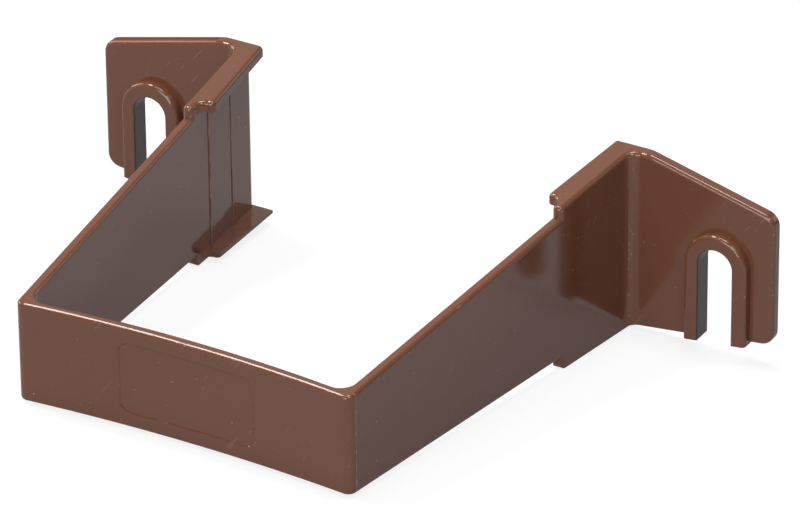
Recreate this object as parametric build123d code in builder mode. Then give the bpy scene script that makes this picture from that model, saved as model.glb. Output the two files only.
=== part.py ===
# Downspout clip, moulded in one piece.
# A bowed band crosses the front of a square downpipe and two arms run back to the wall.
# Behind the pipe each arm is taller, with inward lips at top and bottom that keep the pipe
# off the wall. Outside it an ear lies flat on the wall, with a screw slot open at the bottom.
# Origin: on the wall, midway between the ears and at mid height. +Y runs into the wall.

from build123d import *
from math import cos, radians, sin, tan
import os

# Downpipe, and the wall of the moulding, in millimetres
pipe_side = 65.0
pipe_side_gap = 0.3
pipe_back_gap = 0.2
wall = 2.2

# Front band, and the shallow panel in its face
band_height = 20.3
band_bow = 1.85
outer_corner_radius = 1.75
inner_corner_radius = 3.0
panel_width = 28.0
panel_height = 14.2
panel_corner_radius = 2.2
panel_depth = 0.25
panel_edge_chamfer = 0.2

# Arms: how far they splay and how fast their edges part, in degrees
arm_flare = 4.72
arm_taper = 3.81

# Rear section, which stands the pipe off the wall
standoff = 25.1
rear_step = 2.45
step_toe_radius = 1.3
step_corner_radius = 0.95
lip_root_radius = 2.2
top_lip_reach = 3.0
top_lip_back_reach = 2.5
top_lip_thickness = 2.1
top_lip_setback = 3.2
top_lip_corner_radius = 0.95
bottom_lip_reach = 3.1
bottom_lip_back_reach = 4.0
bottom_lip_rise = 0.8
bottom_lip_back_rise = 1.6
bottom_lip_thickness = 1.4
bottom_lip_back_thickness = 0.8
bottom_lip_setback = 3.7
bottom_lip_corner_radius = 0.9
bottom_lip_edge_radius = 0.35
inner_back_radius = 1.9

# Shallow pad and groove down the inner face of the rear section
pad_start = 6.5
pad_width = 5.2
pad_height = 0.25
groove_start = 15.4
groove_width = 0.6
groove_depth = 0.25

# Ears, with slopes in degrees
ear_thickness = 2.2
ear_reach = 29.8
ear_shoulder = 3.4
ear_shoulder_radius = 6.0
ear_top_fall = 14.3
ear_bottom_lift = 0.65
ear_bottom_rise = 6.5
ear_corner_radius = 2.8
ear_root_radius = 2.4

# Screw slots, and the rim round each
slot_width = 7.0
slot_from_arm = 18.6
rim_wall = 2.95
rim_height = 2.0
rim_drop = 0.1

# Edge rounding
edge_radius = 0.7
rear_edge_radius = 0.85
rim_edge_radius = 0.7
slot_edge_radius = 0.3

# Extra length for cutters, and how near a face or edge must be to count as found
spare = 1.0
near = 0.01

# Places that follow from the sizes above
flare = tan(radians(arm_flare))
taper = tan(radians(arm_taper))
wall_across = wall / cos(radians(arm_flare))
outer_half = pipe_side / 2 + pipe_side_gap + wall
arm_length = wall + pipe_side + pipe_back_gap
front_y = -(arm_length + standoff)
step_y = -standoff
step_half = band_height / 2 + (step_y - front_y) * taper + rear_step
rear_half = band_height / 2 - front_y * taper + rear_step
tall = rear_half + 10 * spare
arm_back_x = outer_half - front_y * flare
wide = arm_back_x + ear_reach + 10 * spare
slot_x = arm_back_x + slot_from_arm
rim_half = slot_width / 2 + rim_wall
rim_depth = ear_thickness + rim_height

# A rounded edge or corner can take a little under half of the wall from either side
band_radius = min(edge_radius, 0.45 * wall)
rear_radius = min(rear_edge_radius, 0.4 * wall)
step_radius = min(step_corner_radius, 0.45 * wall)


def outer_x(y):
    """Distance of an arm's outer face from the middle, at depth y."""
    return outer_half + flare * (y - front_y)


def inner_x(y):
    """Distance of an arm's inner face from the middle, at depth y."""
    return outer_x(y) - wall_across


def half_height(y):
    """Half the height of the arms at depth y."""
    return band_height / 2 + taper * (y - front_y)


def ear_bottom_z(x):
    """Height of an ear's bottom edge, at distance x from the middle."""
    return -rear_half + ear_bottom_lift + tan(radians(ear_bottom_rise)) * (x - arm_back_x)


def along_arm(back, inward):
    """Point in plan, measured from where the step meets the right arm's inner face."""
    angle = radians(arm_flare)
    return (
        inner_x(step_y) + back * sin(angle) - inward * cos(angle),
        step_y + back * cos(angle) + inward * sin(angle),
    )


# Panel: a thin slice of the band's face, in the panel's outline
with BuildPart() as panel:
    with BuildSketch(Plane.XY.offset(-tall)):
        with BuildLine():
            ThreePointArc((-outer_half, front_y), (0, front_y + band_bow), (outer_half, front_y))
            Line((outer_half, front_y), (outer_half, front_y + panel_depth))
            ThreePointArc(
                (outer_half, front_y + panel_depth),
                (0, front_y + band_bow + panel_depth),
                (-outer_half, front_y + panel_depth),
            )
            Line((-outer_half, front_y + panel_depth), (-outer_half, front_y))
        make_face()
    extrude(amount=2 * tall)
    with BuildSketch(Plane.XZ.offset(-front_y)):
        RectangleRounded(panel_width, panel_height, panel_corner_radius)
    extrude(amount=wide, both=True, mode=Mode.INTERSECT)

# Band and arms, as one wall of even thickness that ends inside the rear sections
arm_end = step_y + 3 * spare
band_inner = (inner_x(front_y + wall), front_y + wall)
with BuildPart() as loop:
    with BuildSketch(Plane.XY.offset(-tall)):
        with BuildLine():
            ThreePointArc((-outer_half, front_y), (0, front_y + band_bow), (outer_half, front_y))
            Polyline(
                (outer_half, front_y),
                (outer_x(arm_end), arm_end),
                (inner_x(arm_end), arm_end),
                band_inner,
            )
            ThreePointArc(
                band_inner,
                (0, front_y + wall + band_bow),
                (-band_inner[0], band_inner[1]),
            )
            Polyline(
                (-band_inner[0], band_inner[1]),
                (-inner_x(arm_end), arm_end),
                (-outer_x(arm_end), arm_end),
                (-outer_half, front_y),
            )
        make_face()
        for side in (-1, 1):
            fillet(
                vertices().sort_by_distance((side * outer_half, front_y))[0],
                outer_corner_radius,
            )
            fillet(
                vertices().sort_by_distance((side * band_inner[0], band_inner[1]))[0],
                inner_corner_radius,
            )
    extrude(amount=2 * tall)
    with BuildSketch(Plane.YZ):
        with BuildLine():
            start = front_y - spare
            Polyline(
                (start, half_height(start)),
                (arm_end, half_height(arm_end)),
                (arm_end, -half_height(arm_end)),
                (start, -half_height(start)),
                close=True,
            )
        make_face()
    extrude(amount=wide, both=True, mode=Mode.INTERSECT)
    top = faces().filter_by(lambda f: f.normal_at().Z > 0.9)
    fillet(top.edges().filter_by(lambda e: e.center().Y < arm_end - near), band_radius)

    # Underneath, the outer edge is rounded from one arm over the band to the other
    bottom_front_edge = edges().sort_by_distance((0, front_y + band_bow, -half_height(front_y)))[0]
    fillet(bottom_front_edge, band_radius)

# Height of the rear section, seen from the side
with BuildPart() as rear_height:
    with BuildSketch(Plane.YZ):
        with BuildLine():
            start = step_y - spare
            Polyline(
                (start, half_height(start) + rear_step),
                (0, rear_half),
                (0, -rear_half),
                (start, -half_height(start) - rear_step),
                close=True,
            )
        make_face()
    extrude(amount=wide)


# The lips start a little behind the step, clear of its rounded corners
lip_margin = 1.2 * step_radius


def make_lip(reach, back_reach, setback, corner_radius, step_levels, wall_levels):
    """Lip of the right rear section; its faces' heights are given at the step and the wall."""
    front_corner = along_arm(setback, reach)
    root = along_arm(setback, 0)
    back_corner = (inner_x(0) - back_reach / cos(radians(arm_flare)), 0)
    with BuildPart() as lip:
        with BuildSketch(Plane.XY.offset(-tall)):
            with BuildLine():
                Polyline(
                    along_arm(lip_margin, -wall),
                    along_arm(lip_margin, 0),
                    root,
                    front_corner,
                    back_corner,
                    (outer_x(0), 0),
                    close=True,
                )
            make_face()
            root_room = 0.95 * min(reach - corner_radius, setback - lip_margin)
            fillet(vertices().sort_by_distance(root)[0], min(lip_root_radius, root_room))
            fillet(vertices().sort_by_distance(front_corner)[0], corner_radius)
        extrude(amount=2 * tall)
        with BuildSketch(Plane.YZ):
            with BuildLine():
                Polyline(
                    (step_y, step_levels[0]),
                    (0, wall_levels[0]),
                    (0, wall_levels[1]),
                    (step_y, step_levels[1]),
                    close=True,
                )
            make_face()
        extrude(amount=wide, mode=Mode.INTERSECT)
    return lip.part


# Bottom lip, a thin plate a little above the rear section's bottom, rounded below its free edges
with BuildPart() as bottom_lip:
    step_under = bottom_lip_rise - step_half
    wall_under = bottom_lip_back_rise - rear_half
    add(
        make_lip(
            bottom_lip_reach,
            bottom_lip_back_reach,
            bottom_lip_setback,
            bottom_lip_corner_radius,
            (step_under, step_under + bottom_lip_thickness),
            (wall_under, wall_under + bottom_lip_back_thickness),
        )
    )
    middle = (inner_x(step_y / 2) - bottom_lip_reach, step_y / 2, (step_under + wall_under) / 2)
    fillet(edges().sort_by_distance(middle)[0], bottom_lip_edge_radius)

# Right rear section: wall, ear, lips, and the rim and slot for the screw
ear_end = arm_back_x + ear_reach
shoulder = arm_back_x + ear_shoulder
top_fall = tan(radians(ear_top_fall))
with BuildPart() as rear:
    with BuildSketch(Plane.XY.offset(-tall)):
        with BuildLine():
            Polyline(
                (outer_x(step_y), step_y),
                (outer_x(0), 0),
                (inner_x(0), 0),
                (inner_x(step_y), step_y),
                close=True,
            )
        make_face()
        fillet(vertices().sort_by_distance((inner_x(0), 0))[0], inner_back_radius)
        with Locations(Location(along_arm(pad_start + pad_width / 2, 0), 90 - arm_flare)):
            Rectangle(pad_width, 2 * pad_height)
        with Locations(Location(along_arm(groove_start + groove_width / 2, 0), 90 - arm_flare)):
            Rectangle(groove_width, 2 * groove_depth, mode=Mode.SUBTRACT)
    extrude(amount=2 * tall)
    with BuildSketch(Plane.XZ):
        with BuildLine():
            Polyline(
                (arm_back_x - wall / 2, ear_bottom_z(arm_back_x - wall / 2)),
                (ear_end, ear_bottom_z(ear_end)),
                (ear_end, rear_half - top_fall * (ear_end - shoulder)),
                (shoulder - spare / top_fall, rear_half + spare),
                (arm_back_x - wall / 2, rear_half + spare),
                close=True,
            )
        make_face()
        fillet(vertices().group_by(Axis.X)[-1], ear_corner_radius)
    extrude(amount=ear_thickness)
    root_edge = edges().filter_by(Axis.Z).sort_by_distance(
        (outer_x(-ear_thickness), -ear_thickness, 0)
    )[0]
    fillet(root_edge, ear_root_radius)
    add(rear_height.part, mode=Mode.INTERSECT)
    shoulder_edge = edges().filter_by(
        lambda e: abs(e.tangent_at(0.5).Y) > 0.9 and e.center().Z > 0
    ).sort_by_distance((shoulder, -ear_thickness / 2, rear_half))[0]
    fillet(shoulder_edge, ear_shoulder_radius)
    add(
        make_lip(
            top_lip_reach,
            top_lip_back_reach,
            top_lip_setback,
            top_lip_corner_radius,
            (step_half, step_half - top_lip_thickness),
            (rear_half, rear_half - top_lip_thickness),
        )
    )
    add(bottom_lip.part)

# Rim of the right ear: a block under a half round, and the slot that runs out of its bottom
def make_upright(half_width, bottom_left, bottom_right, depth):
    """Round-topped block standing on the wall at the right screw place."""
    with BuildPart() as upright:
        with BuildSketch(Plane.XZ):
            with Locations((slot_x, 0)):
                Circle(half_width)
            with BuildLine():
                Polyline(
                    (slot_x - half_width, 0),
                    (slot_x + half_width, 0),
                    (slot_x + half_width, bottom_right),
                    (slot_x - half_width, bottom_left),
                    close=True,
                )
            make_face()
        extrude(amount=depth)
    return upright.part


rim = make_upright(
    rim_half,
    ear_bottom_z(slot_x - rim_half) - rim_drop,
    ear_bottom_z(slot_x + rim_half) - rim_drop,
    rim_depth,
)
slot = make_upright(slot_width / 2, -tall, -tall, rim_depth + spare)

# Toe of the step: what is cut off below it, seen from the side
with BuildPart() as toe_cut:
    with BuildSketch(Plane.YZ):
        with BuildLine():
            toe = step_toe_radius
            short = toe * (1 - cos(radians(45)))
            ThreePointArc(
                (step_y, toe - step_half),
                (step_y + short, short - step_half),
                (step_y + toe, -toe * taper - step_half),
            )
            Polyline(
                (step_y + toe, -toe * taper - step_half),
                (step_y + toe, -tall),
                (step_y - spare, -tall),
                (step_y - spare, toe - step_half),
                (step_y, toe - step_half),
            )
        make_face()
    extrude(amount=wide)

# Right half of the clip, with the moulding's rounded edges
with BuildPart() as half:
    add(loop.part)
    split(bisect_by=Plane.YZ)
    add(rear.part)

    # Corners of the step, where the rear section stands above and below the arm
    step_corners = edges().filter_by(Axis.Z).filter_by(lambda e: abs(e.center().Y - step_y) < near)
    fillet(step_corners, step_radius)
    add(toe_cut.part, mode=Mode.SUBTRACT)

    # The ear's end edge leads smoothly into its other edges and those of the rear section's top
    add(rim)
    ear_end_edge = edges().filter_by(Axis.Z).sort_by_distance((ear_end, -ear_thickness, 0))[0]
    fillet(ear_end_edge, rear_radius)

    add(slot, mode=Mode.SUBTRACT)
    for half_width, radius in ((rim_half, rim_edge_radius), (slot_width / 2, slot_edge_radius)):
        rim_front = faces().filter_by(Axis.Y).sort_by_distance((slot_x, -rim_depth, rim_half))[0]
        rim_lines = rim_front.edges().filter_by(
            lambda e: e.geom_type == GeomType.LINE
            and abs(abs(e.center().X - slot_x) - half_width) < near
        )
        rim_arcs = rim_front.edges().filter_by(
            lambda e: e.geom_type == GeomType.CIRCLE and abs(e.radius - half_width) < near
        )
        fillet(rim_lines + rim_arcs, radius)

with BuildPart() as downspout_clip:
    add(half.part)
    mirror(half.part, about=Plane.YZ)
    add(panel.part, mode=Mode.SUBTRACT)

    # The panel's edge slopes to its floor
    band_face = faces().sort_by_distance((0.75 * outer_half, front_y, 0))[0]
    chamfer(band_face.inner_wires()[0].edges(), min(panel_edge_chamfer, 0.8 * panel_depth))

os.makedirs("parts", exist_ok=True)
downspout_clip.part.label = "downspout_clip"
export_step(downspout_clip.part, "parts/downspout_clip.step")
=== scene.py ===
from math import atan2, degrees, radians

import bpy
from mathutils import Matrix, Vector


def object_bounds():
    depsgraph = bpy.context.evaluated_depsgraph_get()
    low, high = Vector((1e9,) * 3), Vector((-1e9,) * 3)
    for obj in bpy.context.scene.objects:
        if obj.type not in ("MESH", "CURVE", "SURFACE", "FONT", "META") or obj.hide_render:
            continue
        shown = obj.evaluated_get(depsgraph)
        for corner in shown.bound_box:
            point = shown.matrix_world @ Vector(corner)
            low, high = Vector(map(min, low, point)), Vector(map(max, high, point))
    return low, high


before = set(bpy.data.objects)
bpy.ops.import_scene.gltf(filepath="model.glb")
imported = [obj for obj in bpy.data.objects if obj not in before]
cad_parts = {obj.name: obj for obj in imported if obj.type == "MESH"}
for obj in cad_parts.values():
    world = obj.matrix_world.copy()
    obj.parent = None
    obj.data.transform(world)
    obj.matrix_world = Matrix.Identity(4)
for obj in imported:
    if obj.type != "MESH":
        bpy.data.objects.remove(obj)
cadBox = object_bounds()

scene = bpy.context.scene
scene.view_settings.view_transform = "Standard"


def newMaterial(name):
    material = bpy.data.materials.new(name)
    material.use_nodes = True
    tree = material.node_tree
    tree.nodes.clear()
    return material, tree


def addNode(tree, kind, x, y, **settings):
    node = tree.nodes.new(kind)
    node.location = (x, y)
    for key, value in settings.items():
        setattr(node, key, value)
    return node


def setInputs(node, **values):
    for key, value in values.items():
        node.inputs[key].default_value = value


def feed(tree, source, target):
    # a socket is linked, a number or colour is set
    if isinstance(source, bpy.types.NodeSocket):
        tree.links.new(source, target)
    else:
        target.default_value = source


def calc(tree, operation, a, b, x, y):
    # b is None where the operation has one input
    node = addNode(tree, "ShaderNodeMath", x, y, operation=operation)
    feed(tree, a, node.inputs[0])
    if b is not None:
        feed(tree, b, node.inputs[1])
    return node.outputs["Value"]


def blendColour(tree, factor, under, over, x, y):
    # inputs 6 and 7 and output 2 are the node's colour sockets
    node = addNode(tree, "ShaderNodeMix", x, y, data_type="RGBA")
    feed(tree, factor, node.inputs["Factor"])
    feed(tree, under, node.inputs[6])
    feed(tree, over, node.inputs[7])
    return node.outputs[2]


def ramp(tree, value, span, result, x, y):
    # smooth step from one value to another
    node = addNode(tree, "ShaderNodeMapRange", x, y, interpolation_type="SMOOTHSTEP")
    feed(tree, value, node.inputs["Value"])
    node.inputs["From Min"].default_value, node.inputs["From Max"].default_value = span
    node.inputs["To Min"].default_value, node.inputs["To Max"].default_value = result
    return node.outputs["Result"]


def noise(tree, vector, scale, detail, x, y):
    node = addNode(tree, "ShaderNodeTexNoise", x, y)
    setInputs(node, Scale=scale, Detail=detail, Roughness=0.5)
    tree.links.new(vector, node.inputs["Vector"])
    return node.outputs["Fac"]


def splitAxes(tree, vector, x, y):
    node = addNode(tree, "ShaderNodeSeparateXYZ", x, y)
    tree.links.new(vector, node.inputs["Vector"])
    return node.outputs


def addBump(tree, height, strength, depth, x, y, **settings):
    node = addNode(tree, "ShaderNodeBump", x, y, **settings)
    setInputs(node, Strength=strength, Distance=depth)
    tree.links.new(height, node.inputs["Height"])
    return node


# moulded brown plastic, glossy, with dust, fine scratches, nicks on its edges and a mould line
plastic = {
    "brown": (0.186, 0.0715, 0.0395, 1.0),
    "darkBrown": (0.172, 0.0645, 0.0345, 1.0),
    "edgeBrown": (0.195, 0.08, 0.042, 1.0),
    "dust": (0.6, 0.5, 0.44, 1.0),
    "nick": (0.42, 0.31, 0.25, 1.0),
    "flowScale": 28.0,
    "ior": 1.56,
    "roughness": (0.07, 0.12),
    "roughnessSpan": (0.3, 0.7),
    "wornRoughness": 0.4,
    # scale of the cells, size of a speck in its cell, share of cells with none, strength
    "dustLayers": ((900.0, 0.12, 0.84, 0.5), (380.0, 0.06, 0.5, 0.8)),
    "scratchTurns": ((20.0, 35.0, 40.0), (-30.0, 15.0, -50.0)),
    "scratchScale": 1500.0,
    "scratchStretch": 12.0,
    "scratchSpan": (0.77, 0.83),
    "scratchStrength": 0.16,
    "scuffScale": 45.0,  # the scratches lie in scuffed patches
    "scuffSpan": (0.5, 0.62),
    "edgeSpan": (0.04, 0.2),
    "rubScale": 160.0,
    "rubSpan": (0.35, 0.7),
    "nickScale": 1100.0,
    "nickSpan": (0.62, 0.7),
    "nickStrength": 0.75,
    "mouldLineY": -0.09055,
    "mouldLineX": 0.0345,
    "mouldLineWidth": (0.0001, 0.00028),
    "mouldLineFoot": (-0.0045, -0.0095),  # it widens between these heights
    "mouldLineScale": 700.0,
    "mouldLineSpan": (0.4, 0.6),
    "mouldLineStrength": (0.2, 0.6),
    # painted shade: a near-black colour darkens the slots' inner faces, which lie in shade
    "slotPaintedShade": (0.02, 0.016, 0.015, 1.0),
    "slotMiddle": 0.0612,  # distance of the slots from the middle
    "slotHalf": 0.0035,
    "slotFade": (0.00008, 0.0002),  # past the slot's wall
    "slotStrength": 0.85,
    # painted light: a pale colour on the small steps of the pad and groove stands in for the
    # light they catch
    "stepPaintedLight": (0.4, 0.3, 0.25, 1.0),
    "stepSpan": (-0.0205, -0.003),  # the pad and groove lie between these
    "stepInner": 0.0404,
    "stepFacing": 0.7,
    "stepScale": 300.0,
    "stepNoiseSpan": (0.35, 0.65),
    "stepStrength": (0.4, 0.9),
    "rippleScale": 75.0,
    "rippleDepth": 0.00004,
    "grainScale": 2600.0,
    "grainDepth": 0.000003,
    "grainStrength": 0.5,
    "cutDepth": 0.00003,
    "cutStrength": 0.6,
}


def makeDust(tree, place, layer, x, y):
    scale, size, share, strength = layer
    cells = addNode(tree, "ShaderNodeTexVoronoi", x, y)
    setInputs(cells, Scale=scale)
    tree.links.new(place, cells.inputs["Vector"])
    random = addNode(tree, "ShaderNodeSeparateColor", x + 200, y - 150)
    tree.links.new(cells.outputs["Color"], random.inputs["Color"])
    speck = ramp(tree, cells.outputs["Distance"], (size * 0.5, size), (1.0, 0.0), x + 200, y)
    few = calc(tree, "GREATER_THAN", random.outputs["Red"], share, x + 400, y - 100)
    bright = calc(tree, "MULTIPLY", random.outputs["Green"], strength, x + 400, y - 250)
    chosen = calc(tree, "MULTIPLY", speck, few, x + 600, y)
    return calc(tree, "MULTIPLY", chosen, bright, x + 800, y)


def makeScratches(tree, place, values, turn, patches, x, y):
    lines = addNode(tree, "ShaderNodeMapping", x, y, vector_type="TEXTURE")
    lines.inputs["Rotation"].default_value = [radians(angle) for angle in turn]
    lines.inputs["Scale"].default_value = (1.0, 1.0, values["scratchStretch"])
    tree.links.new(place, lines.inputs["Vector"])
    streaks = noise(tree, lines.outputs["Vector"], values["scratchScale"], 0.0, x + 200, y)
    thin = ramp(tree, streaks, values["scratchSpan"], (0.0, 1.0), x + 400, y)
    return calc(tree, "MULTIPLY", thin, patches, x + 600, y)


def makeMouldLine(tree, place, values, x, y):
    # where the front corners' rounding meets the arms, wider towards the bottom
    axes = splitAxes(tree, place, x, y)
    away = calc(tree, "SUBTRACT", axes["Y"], values["mouldLineY"], x + 200, y)
    away = calc(tree, "ABSOLUTE", away, None, x + 400, y)
    foot = values["mouldLineFoot"]
    width = ramp(tree, axes["Z"], foot, values["mouldLineWidth"], x + 200, y - 200)
    line = calc(tree, "LESS_THAN", away, width, x + 600, y)
    side = calc(tree, "ABSOLUTE", axes["X"], None, x + 200, y - 400)
    side = calc(tree, "GREATER_THAN", side, values["mouldLineX"], x + 400, y - 400)
    line = calc(tree, "MULTIPLY", line, side, x + 800, y)
    broken = noise(tree, place, values["mouldLineScale"], 2.0, x + 400, y - 600)
    strength = values["mouldLineStrength"]
    broken = ramp(tree, broken, values["mouldLineSpan"], strength, x + 600, y - 600)
    return calc(tree, "MULTIPLY", line, broken, x + 1000, y)


def makeEdges(tree, normal, values, x, y):
    # flat faces have one large part in their normal, rounded edges have two or three
    axes = splitAxes(tree, normal, x, y)
    parts = [calc(tree, "ABSOLUTE", axes[axis], None, x + 200, y - 150 * i)
             for i, axis in enumerate("XYZ")]
    most = calc(tree, "MAXIMUM", parts[0], parts[1], x + 400, y)
    most = calc(tree, "MAXIMUM", most, parts[2], x + 600, y)
    turned = calc(tree, "SUBTRACT", 1.0, most, x + 800, y)
    return ramp(tree, turned, values["edgeSpan"], (0.0, 1.0), x + 1000, y)


def makeSlotPaintedShade(tree, place, values, x, y):
    # painted shade: the slots' inner faces are darkened in colour where they lie in shade;
    # distance from each slot's middle line, which ends at the middle of its half round
    axes = splitAxes(tree, place, x, y)
    across = calc(tree, "ABSOLUTE", axes["X"], None, x + 200, y)
    across = calc(tree, "SUBTRACT", across, values["slotMiddle"], x + 400, y)
    across = calc(tree, "POWER", across, 2.0, x + 600, y)
    above = calc(tree, "MAXIMUM", axes["Z"], 0.0, x + 200, y - 200)
    above = calc(tree, "POWER", above, 2.0, x + 600, y - 200)
    away = calc(tree, "ADD", across, above, x + 800, y)
    away = calc(tree, "SQRT", away, None, x + 1000, y)
    span = [values["slotHalf"] + fade for fade in values["slotFade"]]
    return ramp(tree, away, span, (values["slotStrength"], 0.0), x + 1200, y)


def makeStepPaintedLight(tree, place, normal, values, x, y):
    # painted light: a pale colour along the small steps of the pad and groove, which face the
    # front or the back, stands in for the light they catch
    axes = splitAxes(tree, place, x, y)
    facing = splitAxes(tree, normal, x, y - 200)
    steps = calc(tree, "ABSOLUTE", facing["Y"], None, x + 200, y - 200)
    steps = calc(tree, "GREATER_THAN", steps, values["stepFacing"], x + 400, y - 200)
    front, back = values["stepSpan"]
    behind = calc(tree, "GREATER_THAN", axes["Y"], front, x + 200, y)
    before = calc(tree, "LESS_THAN", axes["Y"], back, x + 200, y + 200)
    across = calc(tree, "ABSOLUTE", axes["X"], None, x + 200, y - 400)
    inside = calc(tree, "LESS_THAN", across, values["stepInner"], x + 400, y - 400)
    there = calc(tree, "MULTIPLY", behind, before, x + 600, y)
    there = calc(tree, "MULTIPLY", there, inside, x + 800, y)
    there = calc(tree, "MULTIPLY", there, steps, x + 1000, y)
    thick = noise(tree, place, values["stepScale"], 2.0, x + 800, y - 300)
    thick = ramp(tree, thick, values["stepNoiseSpan"], values["stepStrength"], x + 1000, y - 300)
    return calc(tree, "MULTIPLY", there, thick, x + 1200, y)


def makePlastic(values):
    material, tree = newMaterial("brownPlastic")
    link = tree.links.new
    output = addNode(tree, "ShaderNodeOutputMaterial", 2200, 0)
    shader = addNode(tree, "ShaderNodeBsdfPrincipled", 1900, 0)
    setInputs(shader, IOR=values["ior"])
    link(shader.outputs["BSDF"], output.inputs["Surface"])
    coordinates = addNode(tree, "ShaderNodeTexCoord", -2400, 0)
    place = coordinates.outputs["Object"]
    normal = coordinates.outputs["Normal"]

    # colour drifts a little where the plastic flowed
    flow = noise(tree, place, values["flowScale"], 3.0, -1200, 700)
    colour = blendColour(tree, flow, values["darkBrown"], values["brown"], -300, 700)

    # rounded edges are rubbed brighter in patches and have small nicks
    edges = makeEdges(tree, normal, values, -2100, 400)
    rubbed = noise(tree, place, values["rubScale"], 4.0, -1200, 500)
    rubbed = ramp(tree, rubbed, values["rubSpan"], (0.0, 1.0), -900, 500)
    rubbed = calc(tree, "MULTIPLY", rubbed, edges, -600, 500)
    colour = blendColour(tree, rubbed, colour, values["edgeBrown"], 0, 700)
    nicks = noise(tree, place, values["nickScale"], 2.0, -1200, 200)
    nicks = ramp(tree, nicks, values["nickSpan"], (0.0, values["nickStrength"]), -900, 200)
    nicks = calc(tree, "MULTIPLY", nicks, edges, -600, 200)
    nicks = calc(tree, "MULTIPLY", nicks, rubbed, -400, 200)

    # fine scratches in patches, and the mould line
    scuffed = noise(tree, place, values["scuffScale"], 1.0, -1200, 0)
    scuffed = ramp(tree, scuffed, values["scuffSpan"], (0.0, 1.0), -900, 0)
    scratches = [makeScratches(tree, place, values, turn, scuffed, -2100, -200 - 300 * i)
                 for i, turn in enumerate(values["scratchTurns"])]
    scratches = calc(tree, "MAXIMUM", scratches[0], scratches[1], -900, -200)
    scratches = calc(tree, "MULTIPLY", scratches, values["scratchStrength"], -600, -200)
    mouldLine = makeMouldLine(tree, place, values, -2100, -900)
    worn = calc(tree, "MAXIMUM", scratches, nicks, -300, 0)
    worn = calc(tree, "MAXIMUM", worn, mouldLine, -100, 0)
    colour = blendColour(tree, worn, colour, values["nick"], 300, 700)

    # dust in two sizes, painted light on the small steps, and painted shade in the slots
    dust = [makeDust(tree, place, layer, -2100, -1700 - 400 * i)
            for i, layer in enumerate(values["dustLayers"])]
    dust = calc(tree, "MAXIMUM", dust[0], dust[1], -300, -1500)
    colour = blendColour(tree, dust, colour, values["dust"], 600, 700)
    # painted light: the small steps lightened in colour
    stepPaintedLight = makeStepPaintedLight(tree, place, normal, values, -2100, -3200)
    colour = blendColour(tree, stepPaintedLight, colour, values["stepPaintedLight"], 750, 900)
    # painted shade: the slots' inner faces darkened in colour
    slotShade = makeSlotPaintedShade(tree, place, values, -2100, -2600)
    colour = blendColour(tree, slotShade, colour, values["slotPaintedShade"], 900, 700)
    link(colour, shader.inputs["Base Color"])

    # the gloss dulls in patches, and most on marks, dust, the painted light on the steps and the
    # painted shade in the slots
    gloss = ramp(tree, flow, values["roughnessSpan"], values["roughness"], 0, 200)
    marksAndPaintedLight = calc(tree, "MAXIMUM", worn, dust, 300, 0)
    marksAndPaintedLight = calc(tree, "MAXIMUM", marksAndPaintedLight, slotShade, 500, 0)
    marksAndPaintedLight = calc(tree, "MAXIMUM", marksAndPaintedLight, stepPaintedLight, 700, 0)
    dull = addNode(tree, "ShaderNodeMix", 900, 200, data_type="FLOAT")
    link(marksAndPaintedLight, dull.inputs["Factor"])
    link(gloss, dull.inputs["A"])
    setInputs(dull, B=values["wornRoughness"])
    link(dull.outputs["Result"], shader.inputs["Roughness"])

    # skin: slow ripples, fine grain, and marks cut in
    ripple = noise(tree, place, values["rippleScale"], 1.0, 600, -300)
    ripple = addBump(tree, ripple, 1.0, values["rippleDepth"], 900, -300)
    grain = noise(tree, place, values["grainScale"], 2.0, 900, -500)
    grain = addBump(tree, grain, values["grainStrength"], values["grainDepth"], 1200, -300)
    cut = addBump(tree, worn, values["cutStrength"], values["cutDepth"], 1500, -300, invert=True)
    link(ripple.outputs["Normal"], grain.inputs["Normal"])
    link(grain.outputs["Normal"], cut.inputs["Normal"])
    link(cut.outputs["Normal"], shader.inputs["Normal"])
    return material


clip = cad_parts["downspout_clip"]
clip.material_slots[0].link = "OBJECT"
clip.material_slots[0].material = makePlastic(plastic)
print("plastic done")


# floor: a sheet that the clip's front edge and rear feet rest on
floor = {
    "size": 3.0,
    "colour": (0.22, 0.22, 0.22, 1.0),
    "seenGlow": 0.82,  # added for the camera, so that the sheet is white there
    "mirroredGlow": 0.32,  # added where the plastic mirrors it
    "gap": 0.00005,
    "frontShare": 0.9,  # of the clip's depth; the front foot is looked for in front of it
    "rearShare": 0.2,  # the rear foot is looked for behind it
}


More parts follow.
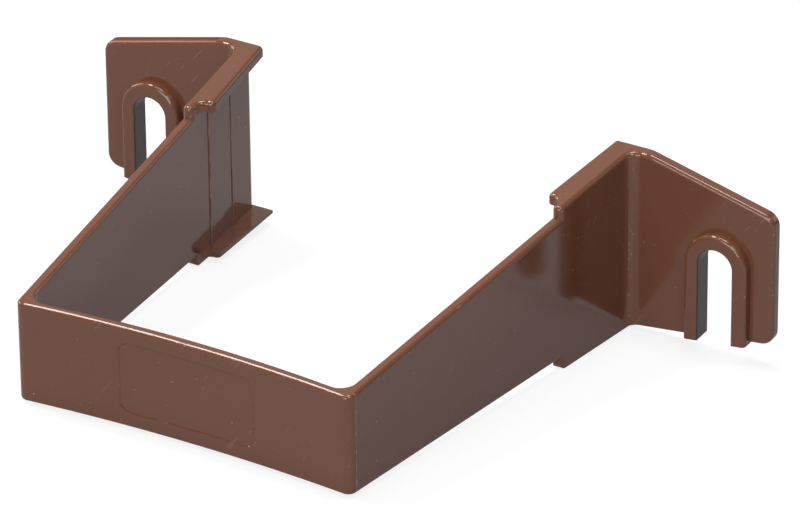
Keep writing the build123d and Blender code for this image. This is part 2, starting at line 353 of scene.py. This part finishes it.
def makeFloor(values):
    corners = [vertex.co for vertex in clip.data.vertices]
    front = [c for c in corners if c.y < cadBox[0].y * values["frontShare"]]
    rear = [c for c in corners if c.y > cadBox[0].y * values["rearShare"]]
    frontFoot = min(front, key=lambda c: c.z)
    rearFoot = min(rear, key=lambda c: c.z)
    slope = (rearFoot.z - frontFoot.z) / (rearFoot.y - frontFoot.y)
    low = min(c.z - (c.y - rearFoot.y) * slope for c in corners)
    bpy.ops.object.select_all(action="DESELECT")
    bpy.ops.mesh.primitive_plane_add(size=values["size"], location=(0, 0, 0))
    sheet = bpy.context.object
    sheet.name = "floorSheet"
    sheet.rotation_euler = (atan2(slope, 1), 0, 0)
    sheet.location = (0, rearFoot.y, low - values["gap"])
    print("floor tilt", round(degrees(atan2(slope, 1)), 2))
    material, tree = newMaterial("floorWhite")
    output = addNode(tree, "ShaderNodeOutputMaterial", 600, 0)
    diffuse = addNode(tree, "ShaderNodeBsdfDiffuse", 0, 100)
    setInputs(diffuse, Color=values["colour"])
    glow = addNode(tree, "ShaderNodeEmission", 0, -100)
    path = addNode(tree, "ShaderNodeLightPath", -700, -200).outputs
    seen = calc(tree, "MULTIPLY", path["Is Camera Ray"], values["seenGlow"], -450, -200)
    mirrored = calc(tree, "MULTIPLY", path["Is Glossy Ray"], values["mirroredGlow"], -450, -400)
    added = calc(tree, "ADD", seen, mirrored, -200, -200)
    tree.links.new(added, glow.inputs["Strength"])
    both = addNode(tree, "ShaderNodeAddShader", 300, 0)
    tree.links.new(diffuse.outputs["BSDF"], both.inputs[0])
    tree.links.new(glow.outputs["Emission"], both.inputs[1])
    tree.links.new(both.outputs["Shader"], output.inputs["Surface"])
    sheet.data.materials.append(material)


makeFloor(floor)
print("floor done")


# lamps: two overhead, one high on the right, and broad ones in front, on the left and behind
lamps = {
    "overhead": {"place": (0.04, 0.1, 1.0), "size": (0.45, 0.3), "watts": 4.3},
    "overheadLeft": {"place": (-0.5, -0.05, 1.0), "size": (0.6, 0.2), "watts": 5.5},
    "right": {"place": (0.56, -0.42, 0.7), "size": (0.3, 0.24), "watts": 1.8},
    "front": {"place": (0.18, -1.5, 0.52), "size": (1.0, 0.8), "watts": 12.9},
    "left": {"place": (-1.3, 0.0, 0.6), "size": (0.8, 0.8), "watts": 7.0},
    "behind": {"place": (-0.75, 1.3, 0.85), "size": (1.4, 1.0), "watts": 1.8},
    "behindRight": {"place": (0.8, 1.2, 0.45), "size": (0.8, 0.6), "watts": 1.6},
}

# world: faint cool light all round, and a white background for the camera
world = {
    "colour": (0.9, 0.93, 1.0, 1.0),
    "strength": 0.05,
    "backdrop": (1.0, 1.0, 1.0, 1.0),
}


def makeLamps(values):
    for name, lamp in values.items():
        bpy.ops.object.select_all(action="DESELECT")
        bpy.ops.object.light_add(type="AREA", location=lamp["place"])
        light = bpy.context.object
        light.name = name
        light.data.shape = "RECTANGLE"
        light.data.size, light.data.size_y = lamp["size"]
        light.data.energy = lamp["watts"]
        aim = (cadBox[0] + cadBox[1]) / 2 - light.location
        light.rotation_euler = aim.to_track_quat("-Z", "Y").to_euler()


def makeWorld(values):
    sky = bpy.data.worlds.new("studio")
    scene.world = sky
    sky.use_nodes = True
    tree = sky.node_tree
    tree.nodes.clear()
    output = addNode(tree, "ShaderNodeOutputWorld", 600, 0)
    air = addNode(tree, "ShaderNodeBackground", 0, 100)
    setInputs(air, Color=values["colour"], Strength=values["strength"])
    back = addNode(tree, "ShaderNodeBackground", 0, -100)
    setInputs(back, Color=values["backdrop"], Strength=1.0)
    path = addNode(tree, "ShaderNodeLightPath", -300, 300)
    mix = addNode(tree, "ShaderNodeMixShader", 300, 0)
    tree.links.new(path.outputs["Is Camera Ray"], mix.inputs["Fac"])
    tree.links.new(air.outputs["Background"], mix.inputs[1])
    tree.links.new(back.outputs["Background"], mix.inputs[2])
    tree.links.new(mix.outputs["Shader"], output.inputs["Surface"])


makeLamps(lamps)
makeWorld(world)
print("lamps done")


camera = {
    "place": (0.578831, -1.007679, 0.643203),
    "turn": (60.31277, 0.48182, 29.91187),
    "sensor": 36,
    "lens": 316.898,
    "shift": (-0.005409, 0.005985),
    "clip": (0.05, 20),
}


def makeCamera(values):
    bpy.ops.object.select_all(action="DESELECT")
    turn = [radians(angle) for angle in values["turn"]]
    bpy.ops.object.camera_add(location=values["place"], rotation=turn)
    view = bpy.context.object
    view.data.sensor_width = values["sensor"]
    view.data.lens = values["lens"]
    view.data.shift_x, view.data.shift_y = values["shift"]
    view.data.clip_start, view.data.clip_end = values["clip"]
    scene.camera = view


makeCamera(camera)
print("camera done")
